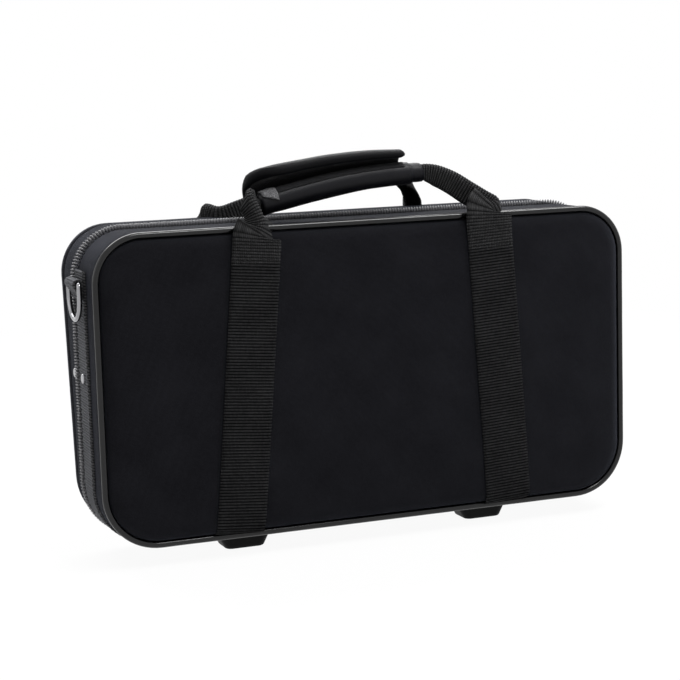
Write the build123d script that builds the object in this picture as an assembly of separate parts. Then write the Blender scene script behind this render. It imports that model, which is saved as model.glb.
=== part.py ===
from build123d import *
import os
from math import asin, atan2, cos, degrees, hypot, radians, sin

# A soft-sided clarinet case that stands on two feet, with its front towards -Y and +Z up.
# The floor is z = 0, x = 0 is the middle of its length and y = 0 the middle of its depth.

# ---- shell, mm ----
case_length = 370.0
case_height = 200.0
base_depth = 51.0          # front piping to the parting plane of the zipper
lid_depth_top = 37.5       # the lid is a wedge, deep at the top where the bell lies
lid_depth_bottom = 17.6
corner_top = 32.0          # outer corner radii, seen from the front
corner_bottom = 37.0
wall_inset = 1.0           # the walls stand this far inside the piping
wall_thick = 5.0
panel_crown = 3.0          # how far a padded panel stands proud of its piping
front_roll = 6.0           # rounding of the front panel's edge
back_roll = 5.4
board_thick = 2.5
fit_gap = 0.15             # gap between neighbours that are sewn or glued together
piping_radius = 2.1
binding_radius = 1.6       # bound seam round the lid's back panel

# ---- zipper and hinge ----
parting_gap = 0.15         # from the parting plane to each half of the coil
coil_width = 3.1           # one half
coil_proud = 0.6           # beyond the piping outline
groove_width = 5.0         # from the parting plane to the edge of the outer wall
tape_thick = 1.0
tape_inset = 2.2
tape_set_back = 0.25       # from the parting plane to the tape's edge
wall_set_back = 0.45       # and to the edge of the wall behind it
zipper_end = 128.0         # the coil ends underneath, this far from the middle
hinge_base_width = 8.0     # hinge cloth glued under the base
hinge_lid_width = 12.0     # and under the lid

# ---- tray ----
lining_thick = 1.0
tray_setback = 1.0         # tray face behind the parting plane
pocket_depth = 36.0
divider = 12.0             # foam between two pockets
tray_margin = 13.0         # foam between the pockets and the tray's edge
tray_top_margin = 15.0     # above the top row
lower_joint_size = (250.0, 46.0)
barrel_width = 42.0
upper_joint_size = (206.0, 46.0)
mouthpiece_length = 96.0   # the barrel, bell and accessory pockets take what is left
lid_pad_thick = 5.0

# ---- webbing ----
webbing_thick = 1.5
strap_width = 32.0
strap_top_x = 80.5         # middle of each front strap where it leaves the face
strap_bottom_x = 95.5
strap_bend_drop = 17.0     # the strap lies on the face up to here, below the top
strap_stub_top = 2.2       # its free end stops this far below the top
back_strap_x = 80.0
band_width = 25.0          # webbing down each end, next to the zipper
band_middle = 18.5         # in front of the parting plane
band_top_drop = 24.0       # below the case's top
band_foot_x = 131.0        # where it ends underneath

# ---- D-rings ----
dring_bar_drop = 32.0      # below the case's top
dring_wire = 3.2
dring_inside = 24.5
dring_side = 9.0           # straight part of each side
dring_corner = 2.2
tab_width = 23.5
tab_thick = 1.4
tab_clearance = 0.4        # round the bar
tab_height = 9.0

# ---- rivets, feet ----
rivet_height = 107.0       # above the case's bottom
rivet_base_back = 18.0     # from the parting plane
rivet_lid_back = 9.0
rivet_head = 3.2
rivet_head_rise = 1.1
rivet_shank = 1.2
burr_radius = 2.6
burr_thick = 0.8
hole_slack = 0.05          # round rivets and screws
stay_width = 20.0
stay_thick = 0.8
stay_end = 6.0             # of the stay past each rivet
stay_room = 1.5            # round the stay in the filling
foot_height = 12.0
foot_x = 86.0
foot_top_length = 40.0
foot_flat_length = 26.0
foot_hinge_gap = 1.0       # from the foot's back to the hinge cloth
foot_depth = 22.0
foot_round = 5.0
foot_edge = 2.0
foot_screw_slack = 0.4     # round the screw's head
foot_screw_spread = 12.0
screw_head_radius = 3.0
screw_head_thick = 2.0
screw_recess = 3.5
screw_radius = 1.6
screw_short = 1.0          # its tip stops this far below the strip's inner side

# ---- sliders, on the right end ----
slider_length = 13.0
slider_width = 10.4
slider_plate = 1.6
slider_meet = 85.0         # the two noses meet here, above the case's bottom
slider_nose_gap = 0.4
slider_lip = 1.3
slider_lip_short = 2.4     # at each end of the lip
slider_round = 2.2
slider_clear = 0.15        # from the coil to the plate
slider_lift = 0.3          # from the wall to the lip
bail_offset = 2.3          # towards the slider's tail
bail_length = 8.0
bail_bar = 1.1
bail_width = 1.6
bail_opening = 2.4
pull_length = 17.0
pull_width = 5.6
pull_thick = 1.1
pull_axis_rise = 1.1       # of the pull's crossbar above the slider plate
pull_lean = 14.0           # the upper pull rests on the lower slider
pull_limb = 1.2
pull_eye = 5.2
pull_bar = 0.9             # from the axis to the crossbar's outer edge
pull_corner = 1.3
pull_hole = 1.2
pull_hole_margin = 3.2

# ---- handle ----
grip_length = 103.0
grip_middle_x = -12.0
grip_middle_back = 28.0    # behind the front piping
grip_middle_rise = 20.0    # above the case's top
grip_rise = 15.0           # how much higher the grip's right end is
grip_core_radius = 4.6
grip_radius = 7.6
wrap_gap = 0.2
wrap_opening = 9.0         # the wrap is open along its top
flap_thick = 5.0
flap_gap = 0.3
flap_rise = 19.5
flap_corner = 22.0         # rounding of its left corner
flap_shift = -7.0          # it is sewn on off the middle of the grip
tape_patch_width = 7.0
tape_patch_thick = 1.0
tape_patch_short = 3.0     # at each end of the grip
flap_overhang = 1.0        # past each end of the grip
flap_tip = 6.0             # rounding of the flap's right corner
core_overhang = 3.0        # of the webbing past each end of the wrap
handle_pivot_rise = -1.0   # of the front loop's fold, from the case's top
back_pivot_rise = -1.7     # of the back loop's fold
leg_bend = {-1: (-6.0, -6.0, 6.0), 1: (6.0, -1.0, 7.0)}  # each leg's bow: sideways, back and up
fold_width = 14.0          # webbing folded lengthwise
fold_thick = 5.0
back_hump_rise = 6.5       # the back loop rises here before it leans forward
back_hump_forward = 5.0
back_hump_x = {-1: 88.0, 1: 67.0}  # the loop leans to the left, as the grip does
back_loop_rise = 18.0
back_loop_forward = 29.0
back_loop_left = -72.0
back_loop_right = 54.0

# ---- places that follow ----
front_y = -(base_depth + lid_depth_top) / 2
zip_y = front_y + base_depth
bottom_z = foot_height
top_z = bottom_z + case_height
half_length = case_length / 2
wall_x = half_length - wall_inset
inner_inset = wall_inset + wall_thick
panel_inset = 2 * piping_radius + fit_gap
wall_front_y = front_y + 2 * piping_radius + fit_gap
board_y = wall_front_y
tray_back_y = board_y + board_thick + fit_gap
tray_face_y = zip_y - tray_setback
middle_z = bottom_z + case_height / 2
lean = degrees(atan2(lid_depth_top - lid_depth_bottom, case_height))
lean_height = hypot(lid_depth_top - lid_depth_bottom, case_height)
back_middle_y = zip_y + (lid_depth_top + lid_depth_bottom) / 2
band_y = zip_y - band_middle
past_lid_y = zip_y + 2 * lid_depth_top  # well behind the lid, for cutting
coil_x = half_length + coil_proud
hinge_z = bottom_z - coil_proud
rivet_y = {-1: zip_y - rivet_base_back, 1: zip_y + rivet_lid_back}
lean_axis = Axis((0, 0, 0), (0, cos(radians(lean)), -sin(radians(lean))))

os.makedirs("parts", exist_ok=True)
written = []


def save(shape, name):
    """Write one piece under its own name."""
    written.append(name)
    export_step(shape, "parts/" + name + ".step")


# ---- outlines and slabs of the shell ----
def outline(inset, height=case_height):
    """The case seen from the front, drawn in by inset."""
    face = Rectangle(case_length - 2 * inset, height - 2 * inset)
    rows = face.vertices().group_by(Axis.Y)
    face = fillet(rows[-1], corner_top - inset)
    rows = face.vertices().group_by(Axis.Y)
    return fillet(rows[0], corner_bottom - inset)


def upright(y):
    """A plane facing the front, at depth y."""
    return Plane(origin=(0, y, middle_z), x_dir=(1, 0, 0), z_dir=(0, -1, 0))


def leaning(offset):
    """A plane parallel to the lid's back, moved outwards by offset."""
    out = Vector(0, cos(radians(lean)), -sin(radians(lean)))
    origin = Vector(0, back_middle_y, middle_z) + out * offset
    return Plane(origin=origin, x_dir=(1, 0, 0), z_dir=out * -1)


def slab(inset, near, far):
    """A plate of the case's outline between two depths."""
    return extrude(upright(far) * outline(inset), amount=far - near)


def back_slab(inset, near, far):
    """A plate of the case's outline on the leaning back, between two offsets."""
    return extrude(leaning(far) * outline(inset, lean_height), amount=far - near)


def ring(outer, inner, near, far):
    """A wall between two insets, going all the way round."""
    return slab(outer, near, far) - slab(inner, near - 1, far + 1)


def beyond_back(offset):
    """Everything behind a plane parallel to the lid's back."""
    reach = 3 * case_length
    return extrude(leaning(offset) * Rectangle(reach, reach), amount=-reach)


def block(x, y, z):
    """A box given by its three spans."""
    size = [abs(s[1] - s[0]) for s in (x, y, z)]
    middle = [(s[0] + s[1]) / 2 for s in (x, y, z)]
    return Pos(*middle) * Box(*size)


def under_middle(half_width):
    """The flat bottom between the corners, as a box to cut with."""
    across = (-case_height, case_height)
    return block((-half_width, half_width), across, (-bottom_z, bottom_z + corner_bottom / 2))


def across_end(side, near, far, rise, radius):
    """A round bar along X through one end of the case, at a depth and height."""
    start = side * near
    length = far - near
    turned = Plane(origin=(start, rise[0], rise[1]), x_dir=(0, 1, 0), z_dir=(side, 0, 0))
    return extrude(turned * Circle(radius), amount=length)


# ---- base ----
def front_panel():
    plate = slab(panel_inset, front_y - panel_crown, wall_front_y - fit_gap)
    face = plate.faces().sort_by(Axis.Y)[0]
    return fillet(face.edges(), front_roll)


def rim_path(inset, plane, height=case_height):
    return (plane * outline(inset, height)).wire()


def rim_cord(path, radius):
    """A round cord sewn along a closed seam."""
    start = path @ 0
    section = Plane(origin=start, z_dir=path % 0) * Circle(radius)
    return sweep(section, path=path)


def front_piping():
    return rim_cord(rim_path(piping_radius, upright(front_y + piping_radius)), piping_radius)


def base_shell():
    outer = ring(wall_inset, inner_inset, wall_front_y, zip_y - groove_width)
    backing = ring(tape_inset + tape_thick, inner_inset, wall_front_y, zip_y - wall_set_back)
    return outer + backing


def rivet_hole(side, y, far=3.0):
    start = wall_x - wall_thick - far
    place = (y, bottom_z + rivet_height)
    return across_end(side, start, wall_x + 2 * far, place, rivet_shank + hole_slack)


def screw_places(y_middle):
    """The two screws of each foot."""
    spread = foot_screw_spread / 2
    return [(s * foot_x + t * spread, y_middle) for s in (-1, 1) for t in (-1, 1)]


foot_y = zip_y - hinge_base_width - foot_hinge_gap - foot_depth / 2


def screw_holes():
    hole = Cylinder(screw_radius + hole_slack, 40)
    return [Pos(x, y, bottom_z) * hole for x, y in screw_places(foot_y)]


def base_walls():
    """The strip over the top and ends, and the separate strip underneath."""
    shell = base_shell()
    for side in (-1, 1):
        shell -= rivet_hole(side, rivet_y[-1])
    underneath = under_middle(half_length - corner_bottom)
    floor_strip = shell & underneath
    for hole in screw_holes():
        floor_strip -= hole
    return shell - underneath, floor_strip


def zip_tape(sign):
    near, far = sorted((zip_y + sign * groove_width, zip_y + sign * tape_set_back))
    whole = ring(tape_inset, tape_inset + tape_thick - hole_slack, near, far)
    return whole - under_middle(zipper_end)


def coil(sign):
    near, far = sorted((zip_y + sign * parting_gap, zip_y + sign * (parting_gap + coil_width)))
    whole = ring(-coil_proud, tape_inset, near, far)
    return whole - under_middle(zipper_end)


def hinge_cloth():
    half = zipper_end - fit_gap
    span_y = (zip_y - hinge_base_width, zip_y + hinge_lid_width)
    return block((-half, half), span_y, (hinge_z, bottom_z + wall_inset))


def board():
    return slab(inner_inset + fit_gap, board_y, board_y + board_thick)


# ---- tray: the pockets are laid out from the bottom row upwards ----
def pocket_spans():
    """The x span and z span of each pocket, measured on the plush."""
    right = wall_x - wall_thick - tray_margin
    left = -right
    low = bottom_z + inner_inset + tray_margin
    high = top_z - inner_inset - tray_top_margin
    row_two = low + lower_joint_size[1] + divider
    row_three = row_two + upper_joint_size[1] + divider
    barrel_left = left + lower_joint_size[0] + divider
    bell_left = left + upper_joint_size[0] + divider
    mouthpiece_right = left + mouthpiece_length
    return {
        "lower_joint": ((left, barrel_left - divider), (low, row_two - divider)),
        "barrel": ((barrel_left, right), (low, low + barrel_width)),
        "upper_joint": ((left, bell_left - divider), (row_two, row_three - divider)),
        "bell": ((bell_left, right), (row_two, high)),
        "mouthpiece": ((left, mouthpiece_right), (row_three, high)),
        "accessory": ((mouthpiece_right + divider, bell_left - divider), (row_three, high)),
    }


def stay_slot(side):
    """Room for the folded stay between the wall and the filling."""
    x_span = (side * (wall_x - wall_thick - 2 * stay_thick - 1), side * (wall_x - wall_thick + 1))
    y_span = (rivet_y[-1] - stay_end - stay_room, rivet_y[1] + stay_end + stay_room)
    half = stay_width / 2 + stay_room
    level = bottom_z + rivet_height
    return block(x_span, y_span, (level - half, level + half))


def pocket_cup(span, grow, floor, mouth):
    """One pocket as a solid, grown by grow to its sides."""
    x, z = span
    return block((x[0] - grow, x[1] + grow), (floor, mouth), (z[0] - grow, z[1] + grow))


pocket_floor_y = tray_face_y - pocket_depth


def foam_tray():
    body = slab(inner_inset + fit_gap, tray_back_y, tray_face_y - lining_thick)
    for span in pocket_spans().values():
        body -= pocket_cup(span, lining_thick, pocket_floor_y, zip_y)
    for side in (-1, 1):
        body -= stay_slot(side)
    return body


def tray_lining():
    """Plush over the tray's face and down into every pocket."""
    skin = slab(inner_inset + fit_gap, tray_face_y - lining_thick, tray_face_y)
    for span in pocket_spans().values():
        skin += pocket_cup(span, lining_thick, pocket_floor_y, tray_face_y)
    for span in pocket_spans().values():
        skin -= pocket_cup(span, 0, pocket_floor_y + lining_thick, zip_y)
    for side in (-1, 1):
        skin -= stay_slot(side)
    return skin


# ---- webbing on the base ----
def strap_prism(side, low, high, near, far):
    """A slanted strip of the strap's width between two heights."""
    def middle(z):
        return strap_bottom_x + (strap_top_x - strap_bottom_x) * (z - bottom_z) / case_height
    half = strap_width / 2
    corners = [(middle(low) - half, low), (middle(low) + half, low),
               (middle(high) + half, high), (middle(high) - half, high)]
    corners = [(side * x, z - middle_z) for x, z in corners]
    return extrude(upright(far) * make_face(Polyline(*corners, close=True)), amount=far - near)


def front_strap(side, panel):
    """Webbing that follows the crowned panel, with a free stub where the loop starts."""
    plate = slab(panel_inset - webbing_thick, front_y - panel_crown - webbing_thick, wall_front_y)
    cover = fillet(plate.faces().sort_by(Axis.Y)[0].edges(), front_roll + webbing_thick)
    bend = top_z - strap_bend_drop
    face_y = front_y - panel_crown
    lying = strap_prism(side, bottom_z, bend, face_y - webbing_thick, front_y - fit_gap) & cover
    lying -= panel
    stub = strap_prism(side, bend, top_z - strap_stub_top, face_y - webbing_thick, face_y)
    return lying + stub


def end_band(side):
    """Webbing down the end and round the bottom corner."""
    whole = ring(wall_inset - webbing_thick, wall_inset, band_y - band_width / 2, band_y + band_width / 2)
    part = whole & block((side * band_foot_x, side * (half_length + wall_thick)), (-case_height, case_height),
                         (0, top_z - band_top_drop))
    return part - rivet_hole(side, rivet_y[-1])


bar_x = wall_x + webbing_thick + fit_gap + dring_wire / 2 + tab_clearance + tab_thick
bar_z = top_z - dring_bar_drop


def dring_tab(side):
    """A folded loop of webbing that holds the ring's bar."""
    hole_radius = dring_wire / 2 + tab_clearance
    plane = Plane(origin=(side * bar_x, band_y - tab_width / 2, bar_z), x_dir=(1, 0, 0), z_dir=(0, 1, 0))
    outer_radius = hole_radius + tab_thick
    rise = tab_height - outer_radius
    outer = Circle(outer_radius) + Pos(0, -rise / 2) * Rectangle(2 * outer_radius, rise)
    outer += Pos(0, -rise) * Circle(outer_radius)
    inner = Circle(hole_radius) + Pos(0, -rise / 4) * Rectangle(2 * hole_radius, rise / 2)
    return extrude(plane * (outer - inner), amount=tab_width)


def dring(side):
    """Bent wire ring with one straight bar."""
    half = dring_inside / 2 + dring_wire / 2
    r = dring_corner
    d = dring_side
    plane = Plane(origin=(side * bar_x, band_y, bar_z), x_dir=(0, 1, 0), z_dir=(1, 0, 0))
    turn = half - r
    lines = [
        Line((0, 0), (turn, 0)),
        RadiusArc((turn, 0), (half, -r), r),
        Line((half, -r), (half, -d)),
        RadiusArc((half, -d), (0, -d - half), half),
        RadiusArc((0, -d - half), (-half, -d), half),
        Line((-half, -d), (-half, -r)),
        RadiusArc((-half, -r), (-turn, 0), r),
        Line((-turn, 0), (0, 0)),
    ]
    path = plane * Wire(lines)
    section = Plane(origin=path @ 0, z_dir=path % 0) * Circle(dring_wire / 2)
    return sweep(section, path=path)


def rivet(side, y, skin):
    """A domed head outside, the shank and a flat burr inside the stay."""
    level = (y, bottom_z + rivet_height)
    inside = wall_x - wall_thick - fit_gap - stay_thick
    outside = wall_x + skin + fit_gap
    shank = across_end(side, inside - burr_thick, outside, level, rivet_shank)
    burr = across_end(side, inside - burr_thick, inside - fit_gap, level, burr_radius)
    head = across_end(side, outside, outside + rivet_head_rise, level, rivet_head)
    edge = head.faces().sort_by(Axis.X)[-1 if side > 0 else 0].edges()
    return shank + burr + fillet(edge, rivet_head_rise * 0.7)


def stay(side):
    """A ribbon that stops the lid, folded flat while the case is closed."""
    near = wall_x - wall_thick - fit_gap
    level = bottom_z + rivet_height
    y_span = (rivet_y[-1] - stay_end, rivet_y[1] + stay_end)
    strip = block((side * (near - stay_thick), side * near), y_span,
                  (level - stay_width / 2, level + stay_width / 2))
    for sign in (-1, 1):
        strip -= rivet_hole(side, rivet_y[sign])
    return strip


def foot(side):
    """A moulded block with sloping ends, screwed up into the bottom."""
    top = foot_top_length / 2
    flat = foot_flat_length / 2
    high = bottom_z + wall_inset - hole_slack
    front = foot_y - foot_depth / 2
    corners = [(-top, high), (-flat, 0), (flat, 0), (top, high)]
    profile = make_face(Polyline(*[(side * foot_x + x, z) for x, z in corners], close=True))
    plane = Plane(origin=(0, foot_y + foot_depth / 2, 0), x_dir=(1, 0, 0), z_dir=(0, -1, 0))
    body = extrude(plane * profile, amount=foot_depth)
    sloped = [e for e in body.edges() if abs((e @ 0).Z - (e @ 1).Z) > 1]
    body = fillet(sloped, foot_round)
    body = fillet(body.faces().sort_by(Axis.Z)[0].edges(), foot_edge)
    for x, y in screw_places(foot_y):
        body -= Pos(x, y, screw_recess / 2) * Cylinder(screw_head_radius + foot_screw_slack, screw_recess)
    for hole in screw_holes():
        body -= hole
    return body


def foot_screws():
    """Pan-head screws, up through each foot into the bottom strip."""
    top = bottom_z + inner_inset - screw_short
    screws = []
    for x, y in screw_places(foot_y):
        head = Pos(x, y, screw_recess - screw_head_thick / 2) * Cylinder(screw_head_radius, screw_head_thick)
        shank = Pos(x, y, (screw_recess + top) / 2) * Cylinder(screw_radius, top - screw_recess)
        screws.append(head + shank)
    return Compound(children=screws)


# ---- lid ----
def lid_shell():
    outer = ring(wall_inset, inner_inset, zip_y + groove_width, past_lid_y)
    backing = ring(tape_inset + tape_thick, inner_inset, zip_y + wall_set_back, past_lid_y)
    shell = (outer + backing) - beyond_back(-2 * binding_radius - fit_gap)
    for side in (-1, 1):
        shell -= rivet_hole(side, rivet_y[1])
    return shell


def lid_walls():
    shell = lid_shell()
    underneath = under_middle(half_length - corner_bottom)
    return shell - underneath, shell & underneath


def back_panel():
    plate = back_slab(2 * binding_radius + fit_gap, -2 * binding_radius, panel_crown)
    face = plate.faces().sort_by(lean_axis)[-1]
    return fillet(face.edges(), back_roll)


def back_binding():
    return rim_cord(rim_path(binding_radius, leaning(-binding_radius), lean_height), binding_radius)


def lid_layer(far, thick):
    """A sheet inside the lid's walls, parallel to its leaning back."""
    fill = slab(inner_inset + fit_gap, zip_y, past_lid_y)
    sheet = (fill & beyond_back(far - thick)) - beyond_back(far)
    for side in (-1, 1):
        sheet -= stay_slot(side)
    return sheet


lid_board_far = -2 * binding_radius - fit_gap
lid_pad_far = lid_board_far - board_thick - fit_gap
lid_lining_far = lid_pad_far - lid_pad_thick


def back_strap(side, panel):
    """Webbing down the lid's back, like the front straps but straight."""
    half = strap_width / 2
    plate = back_slab(2 * binding_radius + fit_gap - webbing_thick, -2 * binding_radius,
                      panel_crown + webbing_thick)
    cover = fillet(plate.faces().sort_by(lean_axis)[-1].edges(), back_roll + webbing_thick)
    strip = block((side * back_strap_x - half, side * back_strap_x + half), (zip_y, past_lid_y),
                  (bottom_z, top_z - strap_bend_drop))
    lying = (cover & strip & beyond_back(fit_gap)) - panel
    low = (case_height / 2 - strap_bend_drop) / cos(radians(lean))
    high = (case_height / 2 - strap_stub_top) / cos(radians(lean))
    face = Pos(side * back_strap_x, (low + high) / 2) * Rectangle(strap_width, high - low)
    return lying + extrude(leaning(panel_crown + webbing_thick) * face, amount=webbing_thick)


# ---- handle ----
pivot_z = top_z + handle_pivot_rise
pivot_y = front_y - panel_crown - webbing_thick / 2
grip_tilt = degrees(asin(grip_rise / grip_length))
grip_y = front_y + grip_middle_back
grip_z = top_z + grip_middle_rise
grip_place = Pos(grip_middle_x, grip_y, grip_z) * Rot(0, -grip_tilt, 0)


def along_grip(face, length):
    """Extrude a section, drawn as (back, up), along the grip."""
    plane = Plane(origin=(-length / 2, 0, 0), x_dir=(0, 1, 0), z_dir=(1, 0, 0))
    return grip_place * extrude(plane * face, amount=length)


def grip_core():
    return along_grip(Circle(grip_core_radius), grip_length + 2 * core_overhang)


def grip_wrap():
    """Padded sleeve round the webbing, open along its top."""
    section = Circle(grip_radius) - Circle(grip_core_radius + wrap_gap)
    section -= Pos(0, grip_radius) * Rectangle(wrap_opening, 2 * grip_radius)
    return along_grip(section, grip_length)


def loop_tape():
    """Fuzzy tape on the wrap's front, which the flap presses on."""
    section = Circle(grip_radius + tape_patch_thick) - Circle(grip_radius)
    section &= Pos(-grip_radius, grip_radius / 2) * Rectangle(grip_radius, tape_patch_width)
    return along_grip(section, grip_length - 2 * tape_patch_short)


def flap_section():
    """End view of the flap, from its seam behind the grip over to its free edge."""
    edge = grip_radius + flap_gap + flap_thick / 2
    points = [(edge, 0), (edge, flap_rise * 0.45), (edge * 0.4, flap_rise * 0.85), (-edge * 0.8, flap_rise)]
    return trace(Spline(*points), line_width=flap_thick)


def flap_ends():
    """Side view of the flap: rounded top corners."""
    low = -flap_thick
    high = flap_rise + flap_thick / 2
    length = grip_length + 2 * flap_overhang
    shape = Pos(flap_shift, (low + high) / 2) * Rectangle(length, high - low)
    top = shape.vertices().group_by(Axis.Y)[-1].sort_by(Axis.X)
    shape = fillet(top[0], flap_corner)
    last = shape.vertices().group_by(Axis.Y)[-1].sort_by(Axis.X)[-1]
    return fillet(last, flap_tip)


def grip_flap():
    """Padded flap that folds over the grip and closes on the tape."""
    solid = along_grip(flap_section(), grip_length + 2 * (flap_overhang + abs(flap_shift)))
    reach = 4 * grip_radius
    plane = Plane(origin=(0, reach, 0), x_dir=(1, 0, 0), z_dir=(0, -1, 0))
    return solid & (grip_place * extrude(plane * flap_ends(), amount=2 * reach))


def grip_end(sign):
    """Middle of the core's end face."""
    reach = sign * (grip_length / 2 + core_overhang + fit_gap)
    return grip_place * Pos(reach, 0, 0)


def leg(side):
    """One end of the front loop: flat where it is sewn, folded where it meets the grip."""
    start = Vector(side * strap_top_x, pivot_y, pivot_z)
    finish = grip_end(side).position
    bend = (start + finish) * 0.5 + Vector(*leg_bend[side])
    away = (bend - start).normalized()
    across = Vector(1, 0, 0)
    first = Plane(origin=start, x_dir=across, z_dir=Vector(0, away.Y, away.Z).normalized())
    second = Plane(origin=bend, x_dir=Vector(1, 0, -0.35 * side), z_dir=finish - start)
    tilt = radians(grip_tilt)
    last = Plane(origin=finish, x_dir=(0, 1, 0), z_dir=(-side * cos(tilt), 0, -side * sin(tilt)))
    sections = [
        first * Rectangle(strap_width, webbing_thick),
        second * Rectangle(fold_width + 4, fold_thick - 1),
        last * Rectangle(fold_thick + 2, fold_width - 4),
    ]
    return loft(sections, ruled=True)


back_pivot_z = top_z + back_pivot_rise
back_slope = (back_pivot_z - middle_z) * sin(radians(lean))
back_pivot_y = back_middle_y + (panel_crown + webbing_thick / 2 + back_slope) / cos(radians(lean))


def back_leg(side, end):
    """From flat webbing on the lid's back to the folded run above the top."""
    start = Vector(side * back_strap_x, back_pivot_y, back_pivot_z)
    hump = Vector(side * back_hump_x[side], back_pivot_y - back_hump_forward, top_z + back_hump_rise)
    first = Plane(origin=start, x_dir=(1, 0, 0), z_dir=(0, -0.45, 0.9))
    second = Plane(origin=hump, x_dir=(1, -0.4 * side, 0), z_dir=end - hump)
    last = Plane(origin=end, x_dir=(0, 1, 0), z_dir=(-side, 0, 0))
    sections = [
        first * Rectangle(strap_width, webbing_thick),
        second * Rectangle(fold_width + 6, fold_thick - 1.5),
        last * Rectangle(fold_thick, fold_width - 2),
    ]
    return loft(sections, ruled=True)


def back_loop():
    """Loop on the lid, leaning forward over the top and passing behind the grip."""
    run_y = back_pivot_y - back_loop_forward
    run_z = top_z + back_loop_rise
    left = Vector(back_loop_left, run_y, run_z)
    right = Vector(back_loop_right, run_y, run_z)
    plane = Plane(origin=left, x_dir=(0, 1, 0), z_dir=(1, 0, 0))
    run = extrude(plane * Rectangle(fold_thick, fold_width - 2), amount=(right - left).X)
    return back_leg(-1, left) + run + back_leg(1, right)


# ---- sliders on the right end ----
plate_x = coil_x + slider_clear
slider_top_x = plate_x + slider_plate
slider_z = {
    "upper": bottom_z + slider_meet + (slider_length + slider_nose_gap) / 2,
    "lower": bottom_z + slider_meet - (slider_length + slider_nose_gap) / 2,
}
tail = {"upper": 1, "lower": -1}


def bail_z(which):
    return slider_z[which] + tail[which] * bail_offset


def slider(which):
    """Plate over the coil, a lip beside the base's coil, and the arch for the pull."""
    z = slider_z[which]
    half = slider_length / 2
    width = slider_width / 2
    plate = block((plate_x, slider_top_x), (zip_y - width, zip_y + width), (z - half, z + half))
    plate = fillet(plate.edges().filter_by(Axis.X), slider_round)
    near = zip_y - parting_gap - coil_width - fit_gap
    reach = half - slider_lip_short
    lip = block((wall_x + slider_lift, plate_x + slider_plate / 2), (near - slider_lip, near),
                (z - reach, z + reach))
    b = bail_z(which)
    rise = bail_opening + bail_bar
    arch = block((slider_top_x, slider_top_x + rise), (zip_y - bail_width / 2, zip_y + bail_width / 2),
                 (b - bail_length / 2, b + bail_length / 2))
    arch -= block((slider_top_x, slider_top_x + bail_opening), (zip_y - width, zip_y + width),
                  (b - bail_length / 2 + bail_bar, b + bail_length / 2 - bail_bar))
    return plate + lip + arch


def pull(which):
    """Flat pull with an eye round the arch."""
    half = pull_width / 2
    tag = RectangleRounded(pull_width, pull_length + pull_bar, pull_corner)
    plate = Pos(0, (pull_bar - pull_length) / 2) * tag
    eye = Pos(0, -(pull_bar + pull_eye) / 2) * Rectangle(2 * (half - pull_limb), pull_eye - pull_bar)
    tip_hole = Pos(0, pull_hole_margin - pull_length) * Circle(pull_hole)
    lean_angle = pull_lean if which == "upper" else 0
    place = Pos(slider_top_x + pull_axis_rise, zip_y, bail_z(which)) * Rot(0, -lean_angle, 0)
    plane = Plane(origin=(-pull_thick / 2, 0, 0), x_dir=(0, 1, 0), z_dir=(1, 0, 0))
    return place * extrude(plane * (plate - eye - tip_hole), amount=pull_thick)


# ---- build ----
panel = front_panel()
save(panel, "front_panel")
save(board(), "front_board")
save(front_piping(), "front_piping")
base_strip, base_floor = base_walls()
save(base_strip, "base_gusset")
save(base_floor, "base_bottom")
save(foam_tray(), "foam_tray")
save(tray_lining(), "tray_lining")
save(zip_tape(-1), "base_zipper_tape")
save(coil(-1), "base_zipper_coil")
save(hinge_cloth(), "hinge_cloth")
for side, word in ((-1, "left"), (1, "right")):
    save(front_strap(side, panel), "front_strap_" + word)
    save(end_band(side), "end_band_" + word)
    save(dring_tab(side), "dring_tab_" + word)
    save(dring(side), "dring_" + word)
    save(stay(side), "lid_stay_" + word)
    save(foot(side), "foot_" + word)
save(Compound(children=[rivet(s, rivet_y[-1], webbing_thick) for s in (-1, 1)]), "base_rivets")
save(Compound(children=[rivet(s, rivet_y[1], 0) for s in (-1, 1)]), "lid_rivets")
save(foot_screws(), "foot_screws")

lid_strip, lid_floor = lid_walls()
lid_back = back_panel()
save(lid_strip, "lid_gusset")
save(lid_floor, "lid_bottom")
save(lid_back, "back_panel")
save(back_binding(), "back_binding")
save(lid_layer(lid_board_far, board_thick), "lid_board")
save(lid_layer(lid_pad_far, lid_pad_thick), "lid_pad")
save(lid_layer(lid_lining_far, lining_thick), "lid_lining")
save(zip_tape(1), "lid_zipper_tape")
save(coil(1), "lid_zipper_coil")
for side, word in ((-1, "left"), (1, "right")):
    save(back_strap(side, lid_back), "back_strap_" + word)
    save(leg(side), "front_loop_" + word)

save(grip_core(), "grip_core")
save(grip_wrap(), "grip_wrap")
save(loop_tape(), "grip_loop_tape")
save(grip_flap(), "grip_flap")
save(back_loop(), "back_loop")
for which in ("upper", "lower"):
    save(slider(which), "slider_" + which)
    save(pull(which), "pull_" + which)
print(len(written), "pieces")
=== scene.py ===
from math import cos, exp, hypot, pi, radians, sin

import bmesh
import bpy
from mathutils import Matrix, Vector, noise


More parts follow.
